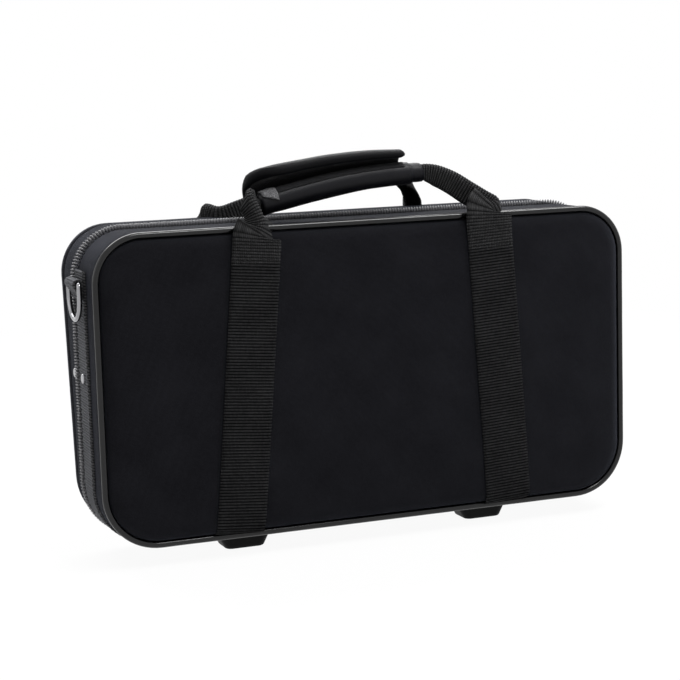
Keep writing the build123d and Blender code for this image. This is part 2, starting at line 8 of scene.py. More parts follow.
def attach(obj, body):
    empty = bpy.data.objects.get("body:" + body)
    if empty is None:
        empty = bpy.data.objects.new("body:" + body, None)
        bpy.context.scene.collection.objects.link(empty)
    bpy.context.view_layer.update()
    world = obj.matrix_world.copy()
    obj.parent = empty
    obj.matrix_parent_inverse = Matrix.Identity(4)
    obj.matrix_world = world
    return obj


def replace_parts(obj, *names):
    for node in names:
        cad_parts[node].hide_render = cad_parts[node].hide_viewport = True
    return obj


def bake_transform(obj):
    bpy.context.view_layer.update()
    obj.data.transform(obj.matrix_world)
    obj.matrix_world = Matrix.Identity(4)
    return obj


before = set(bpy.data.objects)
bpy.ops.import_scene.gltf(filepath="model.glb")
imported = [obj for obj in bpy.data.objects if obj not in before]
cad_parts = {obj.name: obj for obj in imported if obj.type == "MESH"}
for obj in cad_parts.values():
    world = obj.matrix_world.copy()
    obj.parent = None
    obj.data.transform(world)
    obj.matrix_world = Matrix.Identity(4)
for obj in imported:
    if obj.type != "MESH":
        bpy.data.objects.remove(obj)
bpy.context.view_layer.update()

# ---- Front panel ----
# Woven cloth laminated to foam, drawn over a stiff board and rolled round its edge.
# Its raw edge is sewn into the seam behind the piping.
mm = 0.001
half_length, bottom, top, middle_z = 185 * mm, 12 * mm, 212 * mm, 112 * mm
corner_top, corner_bottom = 32 * mm, 37 * mm
front_y, zip_y = -44.25 * mm, 6.75 * mm


def rim(inset):
    """Points (x, z) round the case drawn in by inset, from the middle of the bottom."""
    right, low, high = half_length - inset, bottom + inset, top - inset
    r_low = max(corner_bottom - inset, 0.2 * mm)
    r_high = max(corner_top - inset, 0.2 * mm)
    points = []

    def straight(ax, az, bx, bz, steps):
        points.extend((ax + (bx - ax) * k / steps, az + (bz - az) * k / steps) for k in range(steps))

    def corner(cx, cz, r, start):
        turns = [start + pi / 2 * k / 16 for k in range(16)]
        points.extend((cx + r * cos(t), cz + r * sin(t)) for t in turns)

    straight(0, low, right - r_low, low, 30)
    corner(right - r_low, low + r_low, r_low, -pi / 2)
    straight(right, low + r_low, right, high - r_high, 26)
    corner(right - r_high, high - r_high, r_high, 0)
    straight(right - r_high, high, r_high - right, high, 60)
    corner(r_high - right, high - r_high, r_high, pi / 2)
    straight(-right, high - r_high, -right, low + r_low, 26)
    corner(r_low - right, low + r_low, r_low, pi)
    straight(r_low - right, low, 0, low, 30)
    return points


def running_length(points):
    """Distance travelled along a line of points, one value for each."""
    total, out = 0.0, [0.0]
    for a, b in zip(points, points[1:]):
        total += (Vector(b) - Vector(a)).length
        out.append(total)
    return out


def solid(name, material, points, faces, corners=()):
    """A smooth closed mesh with its normals outwards. corners has a UV for each face corner."""
    mesh = bpy.data.meshes.new(name)
    mesh.materials.append(material)
    mesh.from_pydata(points, [], faces)
    if corners:
        layer = mesh.uv_layers.new(name="UVMap")
        layer.data.foreach_set("uv", [c for uv in corners for c in uv])
    shell = bmesh.new()
    shell.from_mesh(mesh)
    bmesh.ops.recalc_face_normals(shell, faces=shell.faces)
    shell.to_mesh(mesh)
    shell.free()
    mesh.shade_smooth()
    return in_scene(name, mesh)


def in_scene(name, data):
    """A new object at the origin."""
    made = bpy.data.objects.new(name, data)
    bpy.context.scene.collection.objects.link(made)
    return made


def skin(name, material, rings, uv_at, loop=False):
    """One surface through rings of points. The last ring joins the first, or both are closed."""
    count = len(rings[0])
    faces, corners = [], []
    for i in range(len(rings) if loop else len(rings) - 1):
        for j in range(count):
            quad = [(i, j), (i, j + 1), (i + 1, j + 1), (i + 1, j)]
            faces.append([(a % len(rings)) * count + b % count for a, b in quad])
            corners += [uv_at(a, b) for a, b in quad]
    for i in () if loop else (0, len(rings) - 1):
        faces.append([i * count + j for j in range(count)])
        corners += [uv_at(i, j) for j in range(count)]
    return solid(name, material, [tuple(p) for ring in rings for p in ring], faces, corners)


def linked(tree, *pairs):
    """Joins the first of each pair, an output, to the second, an input."""
    for source, target in pairs:
        tree.links.new(source, target)


def maths(tree, operation, *terms):
    """The result of a maths node. Each term is a number or a socket."""
    node = tree.nodes.new("ShaderNodeMath")
    node.operation = operation
    for socket, term in zip(node.inputs, terms):
        if isinstance(term, (int, float)):
            socket.default_value = term
        else:
            tree.links.new(term, socket)
    return node.outputs[0]


def named_sockets(tree, side, kinds):
    """Gives a node group its inputs or outputs, each under its own name."""
    for label, kind in kinds.items():
        tree.interface.new_socket(label, in_out=side, socket_type="NodeSocket" + kind)


def weave_group():
    """Plain weave in the plane of Place: how high the threads stand, and how they vary."""
    tree = bpy.data.node_groups.new("Plain weave", "ShaderNodeTree")
    named_sockets(tree, "INPUT", {"Place": "Vector", "Warp pitch": "Float", "Weft pitch": "Float",
                                  "Ribbing": "Float"})
    named_sockets(tree, "OUTPUT", {"Height": "Float", "Tone": "Float"})
    start, end = tree.nodes.new("NodeGroupInput"), tree.nodes.new("NodeGroupOutput")
    split, cell = tree.nodes.new("ShaderNodeSeparateXYZ"), tree.nodes.new("ShaderNodeCombineXYZ")
    fleck = tree.nodes.new("ShaderNodeTexWhiteNoise")
    fleck.noise_dimensions = "2D"
    u = maths(tree, "DIVIDE", split.outputs["X"], start.outputs["Warp pitch"])
    v = maths(tree, "DIVIDE", split.outputs["Y"], start.outputs["Weft pitch"])
    column, row = maths(tree, "FLOOR", u), maths(tree, "FLOOR", v)
    across, along = [maths(tree, "SINE", maths(tree, "MULTIPLY", maths(tree, "FRACT", a), pi))
                     for a in (u, v)]
    over = maths(tree, "FLOORED_MODULO", maths(tree, "ADD", column, row), 2.0)
    warp = maths(tree, "MULTIPLY", across, maths(tree, "MULTIPLY_ADD", along, 0.6, 0.4))
    weft = maths(tree, "MULTIPLY", along, maths(tree, "MULTIPLY_ADD", across, 0.6, 0.4))
    under = maths(tree, "MULTIPLY", weft, maths(tree, "SUBTRACT", 1.0, over))
    plain = maths(tree, "MULTIPLY_ADD", warp, over, under)
    rib = maths(tree, "MULTIPLY", along, maths(tree, "MULTIPLY_ADD", across, 0.25, 0.75))
    ribbed = maths(tree, "MULTIPLY", maths(tree, "SUBTRACT", rib, plain), start.outputs["Ribbing"])
    linked(tree, (start.outputs["Place"], split.inputs[0]),
           (column, cell.inputs[0]), (row, cell.inputs[1]), (cell.outputs[0], fleck.inputs["Vector"]),
           (maths(tree, "ADD", plain, ribbed), end.inputs["Height"]),
           (fleck.outputs["Value"], end.inputs["Tone"]))
    return tree


weave = weave_group()


def finish(name, colour, roughness, shine=0.5, **numbers):
    """A material with the plain numbers of its shader set. shine is how much it mirrors."""
    made = bpy.data.materials.new(name)
    made.use_nodes = True
    shader = made.node_tree.nodes["Principled BSDF"]
    shader.inputs["Base Color"].default_value = (*colour, 1)
    shader.inputs["Roughness"].default_value = roughness
    shader.inputs["Specular IOR Level"].default_value = shine
    for key, value in numbers.items():
        shader.inputs[key.replace("_", " ").title()].default_value = value
    return made, made.node_tree, shader


def tinted(tree, shader, factor, dark, light):
    """Base colour that runs from dark to light with factor."""
    mix = tree.nodes.new("ShaderNodeMix")
    mix.data_type = "RGBA"
    mix.inputs[6].default_value = (*dark, 1)
    mix.inputs[7].default_value = (*light, 1)
    linked(tree, (factor, mix.inputs[0]), (mix.outputs[2], shader.inputs["Base Color"]))


def relief(tree, shader, height, distance, strength=1.0):
    """Raises the surface by distance where height is 1."""
    bump = tree.nodes.new("ShaderNodeBump")
    bump.inputs["Distance"].default_value = distance
    bump.inputs["Strength"].default_value = strength
    linked(tree, (height, bump.inputs["Height"]), (bump.outputs[0], shader.inputs["Normal"]))


def spot(tree, kind="Object"):
    """Where on the piece the surface is."""
    return tree.nodes.new("ShaderNodeTexCoord").outputs[kind]


def texture(tree, kind, place, scale):
    """A texture node of the given scale, laid at place."""
    node = tree.nodes.new("ShaderNodeTex" + kind)
    node.inputs["Scale"].default_value = scale
    tree.links.new(place, node.inputs["Vector"])
    return node


def cloud(tree, place, scale, detail=3.0):
    """Soft irregular variation from 0 to 1."""
    node = texture(tree, "Noise", place, scale)
    node.inputs["Detail"].default_value = detail
    return node.outputs[0]


def woven_cloth(name, dark, light, warp, weft, depth, roughness, sheen=0.25, shine=0.1, ribbing=0.0):
    """Cloth woven on the piece's own UV map, whose units are metres."""
    made, tree, shader = finish(name, dark, roughness, shine, sheen_weight=sheen, sheen_roughness=0.45)
    shader.inputs["Sheen Tint"].default_value = (0.75, 0.8, 1.0, 1)
    threads = tree.nodes.new("ShaderNodeGroup")
    threads.node_tree = weave
    for label, value in (("Warp pitch", warp), ("Weft pitch", weft), ("Ribbing", ribbing)):
        threads.inputs[label].default_value = value
    place = spot(tree, "UV")
    tree.links.new(place, threads.inputs["Place"])
    worn = maths(tree, "ADD", cloud(tree, place, 30.0), 0.15)
    lit = maths(tree, "MULTIPLY_ADD", threads.outputs["Tone"], 0.35, worn)
    tinted(tree, shader, maths(tree, "MULTIPLY", threads.outputs["Height"], lit), dark, light)
    relief(tree, shader, threads.outputs["Height"], depth)
    return made


def padded_profile(inset, raw_edge, level, roll, rise, crown):
    """A padded panel from its raw edge to near its middle: rolled over, then crowned."""
    line = [(inset + 0.2 * mm, raw_edge)]
    for k in range(10):
        a = pi / 2 * k / 9
        line.append((inset + roll * (1 - cos(a)), level + rise * sin(a)))
    for d in (1.5, 3.5, 6, 9, 13, 18, 25, 35, 48, 62, 76):
        line.append((inset + roll + d * mm, level + rise + crown * (1 - exp(-d / 16))))
    return line


def spread_flat(line):
    """The panel's cloth spread flat, as UV for skin."""
    travel = running_length(line)
    flat = [rim(line[-1][0] - (travel[-1] - t)) for t in travel]
    return lambda i, j: flat[i][j % len(flat[i])]


def looseness(inset, edge):
    """0 at the cloth's sewn edge, 1 from 8 mm inside it."""
    return min(1.0, max(0.0, (inset - edge) / (8 * mm)))


oxford = woven_cloth("Oxford cloth", (0.0018, 0.0018, 0.0022), (0.017, 0.0172, 0.0205),
                     0.72 * mm, 0.72 * mm, 0.16 * mm, 0.55, sheen=0.08, shine=0.01)
edge_inset, edge_y, roll_in, roll_out, crown = 4.4 * mm, -41.2 * mm, 8.5 * mm, -5.3 * mm, -0.75 * mm
profile = padded_profile(edge_inset, -40.1 * mm, edge_y, roll_in, roll_out, crown)
rings = []
for inset, y in profile:
    swell = 0.22 * mm * looseness(inset, edge_inset)
    rings.append([(x, y + swell * noise.noise(Vector((x * 32, y * 10, z * 32))), z) for x, z in rim(inset)])
front_cloth = skin("front_panel_cloth", oxford, rings, spread_flat(profile))
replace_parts(front_cloth, "front_panel")
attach(front_cloth, "base")

# ---- Boards ----
# Thin hardboard cut to the case's outline stiffens the front and the lid.
# Each is glued to the foam of its panel and hidden by the linings.
hardboard, tree, shader = finish("Hardboard", (0.2, 0.13, 0.08), 0.75)
fibres = cloud(tree, spot(tree), 900.0, 6.0)
tinted(tree, shader, fibres, (0.12, 0.075, 0.045), (0.27, 0.19, 0.12))
relief(tree, shader, fibres, 0.1 * mm)


def dress(names, material):
    """Gives frame pieces whose shape is right their real finish."""
    for name in names:
        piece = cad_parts[name]
        piece.data.materials.clear()
        piece.data.materials.append(material)


dress(["front_board", "lid_board"], hardboard)

# ---- Piping ----
# A round vinyl cord in a folded strip, sewn all the way round the front seam.
# Its two ends are butted together under the case.
vinyl, tree, shader = finish("Piping vinyl", (0.003, 0.003, 0.0035), 0.17, shine=0.36)
place = spot(tree, "UV")
relief(tree, shader, cloud(tree, place, 700.0, 2.0), 0.06 * mm, 0.6)
tinted(tree, shader, cloud(tree, place, 45.0, 5.0), (0.0012, 0.0012, 0.0015), (0.005, 0.005, 0.0055))
piping_radius = 2.1 * mm


def cord_on_rim(name, material, spine, outer, radius):
    """A round cord along a closed line. The line outer runs beside it, further out."""
    count, sides = len(spine), 12
    rings = [[] for _ in range(sides)]
    for k in range(sides):
        turn = 2 * pi * k / sides
        for j, (p, beyond) in enumerate(zip(spine, outer)):
            out = (beyond - p).normalized()
            ahead = spine[(j + 1) % count] - spine[j - 1]
            side = ahead.cross(out).normalized()
            r = radius * (1 + 0.035 * noise.noise(p * 60))
            rings[k].append(p + out * (r * cos(turn)) + side * (r * sin(turn)))
    run = running_length([*spine, spine[0]])
    return skin(name, material, rings, lambda i, j: (run[j], 2 * pi * radius * i / sides), loop=True)


path, outer = [[Vector((x, front_y + piping_radius, z)) for x, z in rim(inset)]
               for inset in (piping_radius, piping_radius - 1 * mm)]
piping = cord_on_rim("piping_cord", vinyl, path, outer, piping_radius)
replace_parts(piping, "front_piping")
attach(piping, "base")

# ---- Walls ----
# Cloth over thin foam: one strip over the top and ends, one underneath, joined at the
# lower corners. Next to the zipper the cloth is turned under and topstitched.
lean, back_middle = radians(5.682), 34.3 * mm
lower_seam = half_length - corner_bottom


def back_y(z, offset):
    """Depth of the leaning back at height z, moved outwards by offset."""
    return back_middle + (offset + (z - middle_z) * sin(lean)) / cos(lean)


def hoop(name, section):
    """A band round the case. Its section has pairs of inset and depth, both in mm, or
    in place of the depth a function of z that gives it in metres."""
    section = [(inset * mm, y if callable(y) else y * mm) for inset, y in section]
    rings = [[(x, y(z) if callable(y) else y, z) for x, z in rim(inset)] for inset, y in section]
    run = running_length([*rings[0], rings[0][0]])
    across = running_length([(a, b(top) if callable(b) else b) for a, b in [*section, section[0]]])
    return skin(name, oxford, rings, lambda i, j: (run[j], across[i]), loop=True)


def puffed(points, amount, seed):
    """Moves the cloth of a wall in and out a little, and draws it in at its two lower seams."""
    for p in points:
        if abs(abs(p.co.x) - lower_seam) < 0.5 * mm and p.co.z < bottom + 2 * mm:
            p.co.z += 0.55 * mm
        held = min(1.0, max(0.0, abs(p.co.y - zip_y) / mm - 9) / 8)
        push = amount * held * noise.noise(Vector((p.co.x * 24 + seed, p.co.y * 40, p.co.z * 24)))
        p.co.x += push * (1 if p.co.x > 0 else -1) * min(1, abs(p.co.x) / half_length) ** 4
        p.co.z += push * (1 if p.co.z > middle_z else -1) * min(1, abs(p.co.z - middle_z) / (100 * mm)) ** 4


base_wall = hoop("base_wall", [
    (2.9, -39.9), (1.5, -39.3), (0.9, -37), (0.65, -30), (0.6, -20), (0.7, -10), (0.9, -4), (1.05, -1.2),
    (1.15, 0.6), (1.5, 1.5), (2.15, 1.75), (3.3, 1.75), (3.3, 6.2), (6, 6.2), (6, -39.8)])
puffed(base_wall.data.vertices, 0.25 * mm, 3.0)


def between(share):
    """Depth at a share of the way from the zipper's edge to the leaning back."""
    near = zip_y + 5 * mm
    return lambda z: near + (back_y(z, -3.6 * mm) - near) * share


lid_wall = hoop("lid_wall", [
    (3.3, 7.25), (3.3, 11.75), (2.15, 11.75), (1.5, 12.0), (1.15, 12.9), (1.0, between(0.18)),
    (0.75, between(0.4)), (0.7, between(0.65)), (0.85, between(0.85)), (1.3, between(0.96)),
    (2.6, between(1.0)), (6, between(1.0)), (6, 7.25)])
puffed(lid_wall.data.vertices, 0.2 * mm, 8.0)
bulge, bulge_from, bulge_width = 1.7 * mm, 13 * mm, 31 * mm
for p in lid_wall.data.vertices:
    if p.co.z > top - 3 * mm and bulge_from < p.co.y < bulge_from + bulge_width:
        over_width = sin(pi * (p.co.y - bulge_from) / bulge_width)
        p.co.z += bulge * over_width * max(0, 1 - (p.co.x / half_length) ** 4)
for wall, nodes, body in ((base_wall, ("base_gusset", "base_bottom"), "base"),
                          (lid_wall, ("lid_gusset", "lid_bottom"), "lid")):
    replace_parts(wall, *nodes)
    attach(wall, body)

# ---- Back panel ----
# The lid's back is padded like the front and leans, because the lid is deeper above.
# Its edge is closed with a ribbed binding tape instead of piping.
lean_half = hypot(19.9, 200) / 2 * mm


def leaning_rim(inset, offset):
    """The outline laid on the leaning back, drawn in by inset and moved out by offset."""
    out = []
    for x, z in rim(inset):
        t = (z - middle_z) * lean_half / (100 * mm)
        out.append(Vector((x, back_middle + t * sin(lean) + offset * cos(lean),
                           middle_z + t * cos(lean) - offset * sin(lean))))
    return out


back_edge = 3.4 * mm
profile = padded_profile(back_edge, -3.1 * mm, -2.0 * mm, 8 * mm, 4.2 * mm, 0.8 * mm)
rings = []
for inset, offset in profile:
    swell = 0.2 * mm * looseness(inset, back_edge)
    rings.append([p + Vector((0, swell * noise.noise(Vector((x * 30, 4, z * 30))), 0))
                  for p, (x, z) in zip(leaning_rim(inset, offset), rim(inset))])
back_cloth = skin("back_panel_cloth", oxford, rings, spread_flat(profile))
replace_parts(back_cloth, "back_panel")
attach(back_cloth, "lid")

binding_tape = woven_cloth("Binding tape", (0.008, 0.008, 0.01), (0.034, 0.034, 0.04),
                           1.3 * mm, 0.9 * mm, 0.3 * mm, 0.6)
path = leaning_rim(1.7 * mm, -1.7 * mm)
outer = leaning_rim(0.7 * mm, -1.7 * mm)
binding = cord_on_rim("binding_tape", binding_tape, path, outer, 1.75 * mm)
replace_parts(binding, "back_binding")
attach(binding, "lid")

# ---- Zipper ----
# A nylon coil zipper sewn to two woven tapes: each half is a row of turns on its tape,
# and the rows mesh along the middle. Both ends stop under the case, beside the hinge.
coil_nylon, tree, shader = finish("Coil nylon", (0.12, 0.12, 0.127), 0.38, coat_weight=0.1)
place = spot(tree)
relief(tree, shader, cloud(tree, place, 1500.0, 2.0), 0.05 * mm)
tinted(tree, shader, cloud(tree, place, 200.0, 3.0), (0.08, 0.08, 0.086), (0.19, 0.19, 0.2))
tape_cloth = woven_cloth("Zipper tape", (0.008, 0.008, 0.01), (0.03, 0.03, 0.036),
                         0.5 * mm, 1.0 * mm, 0.15 * mm, 0.7)
zipper_end, coil_end = 128 * mm, 152 * mm


def open_rim(inset, end=zipper_end):
    """The outline from one end of the zipper to the other, over the top."""
    return [p for p in rim(inset) if not (p[1] < bottom + 20 * mm and abs(p[0]) < end)]


def strip_on_rim(name, material, section):
    """A solid strip along the open outline. Each section point is (inset, y)."""
    lines = [open_rim(inset) for inset, y in section]
    run = running_length(lines[0])
    rings = [[(line[k][0], y, line[k][1]) for line, (inset, y) in zip(lines, section)]
             for k in range(len(run))]
    across = running_length([*section, section[0]])
    return skin(name, material, rings, lambda i, j: (across[j], run[i]))


def instances_tree(name, segments, rings):
    """Geometry Nodes: a small bead set at even steps along a curve, turned to follow it."""
    tree = bpy.data.node_groups.new(name, "GeometryNodeTree")
    named_sockets(tree, "INPUT", {"Geometry": "Geometry", "Pitch": "Float", "Across": "Float",
                                  "Along": "Float", "Height": "Float", "Finish": "Material"})
    named_sockets(tree, "OUTPUT", {"Geometry": "Geometry"})
    start, end = tree.nodes.new("NodeGroupInput"), tree.nodes.new("NodeGroupOutput")
    bead, size_of = tree.nodes.new("GeometryNodeMeshUVSphere"), tree.nodes.new("ShaderNodeCombineXYZ")
    steps, facing, tangent, outward, place, real, smooth, coat = [tree.nodes.new(kind) for kind in (
        "GeometryNodeResampleCurve", "FunctionNodeAxesToRotation", "GeometryNodeInputTangent",
        "GeometryNodeInputNormal", "GeometryNodeInstanceOnPoints", "GeometryNodeRealizeInstances",
        "GeometryNodeSetShadeSmooth", "GeometryNodeSetMaterial")]
    steps.mode = "LENGTH"
    facing.primary_axis, facing.secondary_axis = "Z", "X"
    for label, value in (("Segments", segments), ("Rings", rings), ("Radius", 0.5)):
        bead.inputs[label].default_value = value
    given = start.outputs
    linked(tree, (given["Geometry"], steps.inputs["Curve"]), (given["Pitch"], steps.inputs["Length"]),
           (given["Height"], size_of.inputs[0]), (given["Across"], size_of.inputs[1]),
           (given["Along"], size_of.inputs[2]), (tangent.outputs[0], facing.inputs[0]),
           (outward.outputs[0], facing.inputs[1]), (steps.outputs[0], place.inputs["Points"]),
           (bead.outputs["Mesh"], place.inputs["Instance"]), (facing.outputs[0], place.inputs["Rotation"]),
           (size_of.outputs[0], place.inputs["Scale"]), (place.outputs[0], real.inputs[0]),
           (real.outputs[0], smooth.inputs[0]), (smooth.outputs[0], coat.inputs["Geometry"]),
           (given["Finish"], coat.inputs["Material"]), (coat.outputs[0], end.inputs[0]))
    return tree


def repeated(name, lines, tree, values, material):
    """Runs a tree along lines of points and bakes the result into one plain mesh."""
    curve = bpy.data.curves.new("guide", "CURVE")
    curve.dimensions = "3D"
    for points in lines:
        spline = curve.splines.new("POLY")
        spline.points.add(len(points) - 1)
        for p, co in zip(spline.points, points):
            p.co = (*co, 1)
    guide = in_scene("guide", curve)
    modifier = guide.modifiers.new("copies", "NODES")
    modifier.node_group = tree
    ids = {s.name: s.identifier for s in tree.interface.items_tree if s.in_out == "INPUT"}
    for label, value in {**values, "Finish": material}.items():
        modifier[ids[label]] = value
    guide.update_tag()
    seen = guide.evaluated_get(bpy.context.evaluated_depsgraph_get())
    mesh = bpy.data.meshes.new_from_object(seen)
    bpy.data.objects.remove(guide)
    mesh.name = name
    return in_scene(name, mesh)


coil_tree = instances_tree("Zipper turns", 8, 6)
turn = {"Pitch": 2.0 * mm, "Across": 3.9 * mm, "Along": 1.45 * mm, "Height": 1.6 * mm}
tape_outer, tape_inner = 2.2 * mm, 3.1 * mm
for body, sign in (("base", -1), ("lid", 1)):
    far, near = zip_y + sign * 7 * mm, zip_y + sign * 0.3 * mm
    tape = strip_on_rim(body + "_tape", tape_cloth, [(tape_outer, far), (tape_inner, far),
                                                     (tape_inner, near), (tape_outer, near)])
    row_y = zip_y + sign * 1.35 * mm
    points = [Vector((x, row_y, z)) for x, z in open_rim(0.15 * mm, coil_end)]
    if sign > 0:
        points[0] += (points[1] - points[0]).normalized() * turn["Pitch"] / 2
    turns = repeated(body + "_coil", [points], coil_tree, turn, coil_nylon)
    for piece, node in ((tape, body + "_zipper_tape"), (turns, body + "_zipper_coil")):
        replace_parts(piece, node)
        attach(piece, body)

# ---- Front straps and handle legs ----
# 32 mm ribbed polypropylene webbing, sewn into the bottom seam and run up over the front.
# Near the top a flatter, closer webbing is sewn to it, folded lengthwise as a handle's leg.
rib_pitch, rib_height, close_rib, close_from = 1.95 * mm, 0.32 * mm, 0.16 * mm, 188.5 * mm
strap_width, strap_thick, fold_radius = 32 * mm, 1.5 * mm, 2.2 * mm
webbing = woven_cloth("Ribbed webbing", (0.0004, 0.0004, 0.0005), (0.034, 0.034, 0.035),
                      0.9 * mm, rib_pitch, 0.9 * mm, 0.55, sheen=0.01, shine=0.02, ribbing=0.9)
close_webbing = woven_cloth("Close webbing", (0.0004, 0.0004, 0.0005), (0.05, 0.05, 0.051),
                            1.2 * mm, rib_pitch, 0.7 * mm, 0.5, sheen=0.01, shine=0.03, ribbing=0.5)


def eased(a, b, c, d, t):
    """A smooth curve from b to c that also heeds its neighbours a and d."""
    second = (a * 2 - b * 5 + c * 4 - d) * (t * t / 2)
    return b + (c - a) * (t / 2) + second + (b * 3 - a - c * 3 + d) * (t ** 3 / 2)


def part_way(a, b, t):
    """The station (centre, across, fold in degrees, width) at a share t of the way from a to b."""
    vectors = [Vector(a[n]).lerp(Vector(b[n]), t) for n in (0, 1)]
    return (*vectors, *[a[n] + (b[n] - a[n]) * t for n in (2, 3)])


def along_stations(stations, step):
    """Stations at even steps on a smooth curve through the given ones."""
    last, fine = len(stations) - 1, []
    for k in range(last):
        near = [stations[max(0, min(last, k + m))] for m in (-1, 0, 1, 2)]
        for n in range(24):
            centre = eased(*[Vector(s[0]) for s in near], n / 24)
            fine.append((centre, *part_way(near[1], near[2], n / 24)[1:]))
    fine.append((Vector(stations[-1][0]), Vector(stations[-1][1]), *stations[-1][2:]))
    run = running_length([f[0] for f in fine])
    rows, k = [], 0
    for n in range(int(run[-1] / step) + 1):
        while k < len(run) - 2 and run[k + 1] < n * step:
            k += 1
        rows.append(part_way(fine[k], fine[k + 1], min(1.0, (n * step - run[k]) / (run[k + 1] - run[k]))))
    return rows


def ribbon(name, material, stations, thick=strap_thick, rib=rib_height, pitch=rib_pitch, cells=14):
    """Ribbed webbing along stations. It may be folded lengthwise, away from its outer face."""
    step = pitch / 4
    rows = along_stations(stations, step)
    rings = []
    for n, (centre, across, fold, width) in enumerate(rows):
        ahead = (rows[min(n + 1, len(rows) - 1)][0] - rows[max(n - 1, 0)][0]).normalized()
        across = (across - ahead * across.dot(ahead)).normalized()
        out = across.cross(ahead)
        angle = radians(max(fold, 0.01))
        crest = close_rib if material is webbing and centre.z > close_from else rib
        ridge = -crest * cos(2 * pi * n * step / pitch)
        faces = {1: [], -1: []}
        for c in range(cells + 1):
            s = (c / cells - 0.5) * width
            side, reach = (1 if s >= 0 else -1), abs(s)
            a = min(angle, reach / fold_radius)
            past = max(0.0, reach - fold_radius * angle)
            sideways = fold_radius * sin(a) + past * cos(angle)
            depth = fold_radius * (1 - cos(a)) + past * sin(angle)
            local = across * (side * sin(a)) + out * cos(a)
            edge = 0.72 if c in (0, cells) else 1.0
            for face in (1, -1):
                lift = face * (thick / 2 * edge + ridge)
                faces[face].append(centre + across * (side * sideways) - out * depth + local * lift)
        rings.append(faces[1] + faces[-1][::-1])
    marks = [(c / cells - 0.5) * stations[0][3] for c in range(cells + 1)]
    marks = marks + marks[::-1] + marks[:1]
    return skin(name, material, rings, lambda i, j: (marks[j], i * step))


def dress_above(strap):
    """Gives a strap its close webbing above the line where that is sewn on."""
    strap.data.materials.append(close_webbing)
    for face in strap.data.polygons:
        face.material_index = 1 if face.center.z > close_from else 0


def in_metres(rows):
    """Stations from rows in mm: x, y, z, the across direction's x and y, fold and width."""
    return [((x * mm, y * mm, z * mm), (ax, ay, 0), fold, width * mm)
            for x, y, z, ax, ay, fold, width in rows]


def strap_x(side, z):
    """Where the middle of a front strap is at height z. Both lean inwards as they go up."""
    low, high = (-97 * mm, -79 * mm) if side < 0 else (94 * mm, 82 * mm)
    return low + (high - low) * (z - bottom) / (195 * mm)


def on_front(side):
    """The strap's way up the front, a hair off the padded cloth."""
    lift = strap_thick / 2 + 0.1 * mm
    way = []
    for a in (8, 25, 45, 65, 90):
        a = radians(a)
        z = bottom + edge_inset + roll_in * (1 - cos(a)) - lift * cos(a)
        way.append((z, edge_y + roll_out * sin(a) - lift * sin(a)))
    for d in (6, 16, 40, 90, 140):
        z = bottom + edge_inset + roll_in + d * mm
        way.append((z, edge_y + roll_out + crown * (1 - exp(-d / 16)) - lift))
    way += [(186 * mm, -48.12 * mm), (196 * mm, -48.2 * mm)]
    return [((strap_x(side, z), y, z), (1, 0, side * 0.075), 0, strap_width) for z, y in way]


left_leg = [(-79.0, -48.3, 205.5, 1, 0, 2, 32), (-77.2, -48.2, 208.8, 1, 0, 20, 32),
            (-75.9, -47.8, 211.7, 1, 0, 43, 32), (-75.8, -47.4, 214.6, 1, 0, 56, 32),
            (-76.4, -46.7, 218.2, 1, 0.02, 72, 32), (-77.4, -45.6, 222, 1, 0.03, 82, 32),
            (-78.8, -44.0, 226, 1, 0.05, 86, 32), (-79.9, -41.8, 230, 1, 0.08, 87, 32),
            (-79.4, -38.4, 233.2, 1, 0.0, 87, 31), (-77.4, -32.6, 233.8, 0.95, -0.3, 86, 28),
            (-73.8, -24.6, 230.2, 0.6, -0.8, 87, 24), (-68, -18.6, 226.2, 0.2, -1, 88, 20),
            (-59, -16.4, 224.6, 0, -1, 88, 17), (-30, -16.25, 230.2, 0, -1, 88, 17),
            (5, -16.25, 236.0, 0, -1, 88, 17), (34, -16.25, 238.4, 0, -1, 88, 17)]
right_leg = [(82.2, -48.3, 206, 1, 0, 0, 32.5), (82.4, -48.3, 212.4, 1, 0, 0, 32.5),
             (83.6, -48.1, 215.2, 1, 0, 16, 32.5), (86.8, -47.7, 217.5, 1, 0, 40, 32.5),
             (88.2, -46.9, 219.8, 1, 0.02, 61, 32.5), (86.6, -45.2, 222.4, 1, 0.15, 77, 32),
             (82.0, -41.6, 226.0, 0.9, 0.35, 85, 32), (75.6, -36.2, 231.0, 0.75, 0.6, 87, 32),
             (67.0, -29.2, 237.6, 0.62, 0.78, 88, 31), (57.5, -22.4, 242.2, 0.5, 0.86, 88, 29),
             (49.0, -18.0, 243.2, 0.25, 0.97, 88, 24), (42, -16.5, 241.4, 0.05, 1, 88, 18),
             (36, -16.3, 239.0, 0, 1, 88, 17)]
for side, word, leg, inside in ((-1, "left", left_leg, ["grip_core"]), (1, "right", right_leg, [])):
    strap = ribbon("front_webbing_" + word, webbing, on_front(side) + in_metres(leg))
    dress_above(strap)
    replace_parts(strap, "front_strap_" + word, "front_loop_" + word, *inside)
    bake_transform(strap)

# ---- Back straps and back loop ----
# One length of the same webbing comes up the lid's back, leans over the top,
# passes behind the grip and goes down the back again.
back_strap_x = 80 * mm


def on_back(x, z, offset):
    return (x, back_y(z, offset), z)


def up_back(side, across):
    """The strap's way up the lid's back. The right one is pulled inwards near the top."""
    way = [(15.6, -1.4), (16.4, 0.6), (18.4, 2.2), (21.6, 3.2), (26, 3.65), (36, 3.85), (60, 3.85),
           (110, 3.85), (160, 3.85), (186, 3.85), (194, 3.85), (201, 3.9)]
    stations = []
    for z, offset in way:
        pull = 12.5 * mm * max(0, (z - 180) / 22) ** 1.5 if side > 0 else 0
        stations.append((on_back(side * back_strap_x - pull, z * mm, offset * mm), across, 0, strap_width))
    return stations


